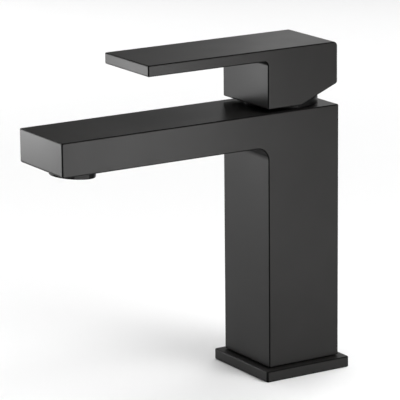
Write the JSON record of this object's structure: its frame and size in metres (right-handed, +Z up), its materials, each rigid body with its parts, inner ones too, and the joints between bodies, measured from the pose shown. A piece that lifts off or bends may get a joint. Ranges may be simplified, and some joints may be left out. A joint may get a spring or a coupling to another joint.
{
  "type": "bathroom mixer faucet",
  "caption": "Square single-lever basin mixer faucet with a flat spout, a flat lever handle on a hollow block, a round collar, an aerator and a ceramic disc cartridge.",
  "frame": {"origin": "on the column's axis at the level of the deck, in the plane of the base plate's underside and the tubes' lower ends", "axes": "+Z up, -Y along the spout towards the user, +X to the user's right (the cold side)"},
  "size_m": [0.051, 0.1662, 0.1726],
  "materials": {
    "black_finish": "satin",
    "brass": "satin",
    "steel": "satin",
    "rubber": "matte",
    "ceramic": "satin",
    "white_plastic": "satin",
    "grey_plastic": "satin"
  },
  "bodies": {
    "faucet_body": {"body": "black_finish", "locator": "brass", "inlet_tube_hot": "brass", "inlet_tube_cold": "brass", "stud_tube": "brass", "base_plate": "black_finish", "base_gasket": "rubber", "column_seal": "rubber", "cartridge_base": "grey_plastic", "inlet_seal_hot": "rubber", "inlet_seal_cold": "rubber", "disc_gasket": "rubber", "fixed_disc": "ceramic", "cartridge_housing": "white_plastic", "housing_seal": "rubber", "cartridge_nut": "brass", "collar": "black_finish", "collar_seal": "rubber", "aerator_housing": "black_finish", "aerator_insert": "grey_plastic", "flow_regulator": "rubber", "aerator_screen": "steel", "aerator_gasket": "rubber"},
    "rotor": {"spindle_carrier": "white_plastic", "spindle_pin": "steel"},
    "lever": {"spindle": "brass", "handle": "black_finish", "handle_screw": "steel", "handle_plug": "grey_plastic"},
    "valve": {"moving_disc": "ceramic", "disc_carrier": "grey_plastic"}
  },
  "joints": [
    {"name": "lever_turn", "type": "hinge", "parent": "faucet_body", "child": "rotor", "pos_m": [0, 0, 0.139], "axis": [0, 0, 1], "range_deg": [-45, 45]},
    {"name": "lever_lift", "type": "hinge", "parent": "rotor", "child": "lever", "pos_m": [0, 0, 0.139], "axis": [-1, 0, 0], "range_deg": [0, 25]},
    {"name": "disc_slide", "type": "slide", "parent": "rotor", "child": "valve", "axis": [0, -1, 0], "range_m": [0, 0.00439]}
  ],
  "couplings": [
    {"joint": "disc_slide", "follows": "lever_lift", "m_per_rad": 0.010073}
  ]
}
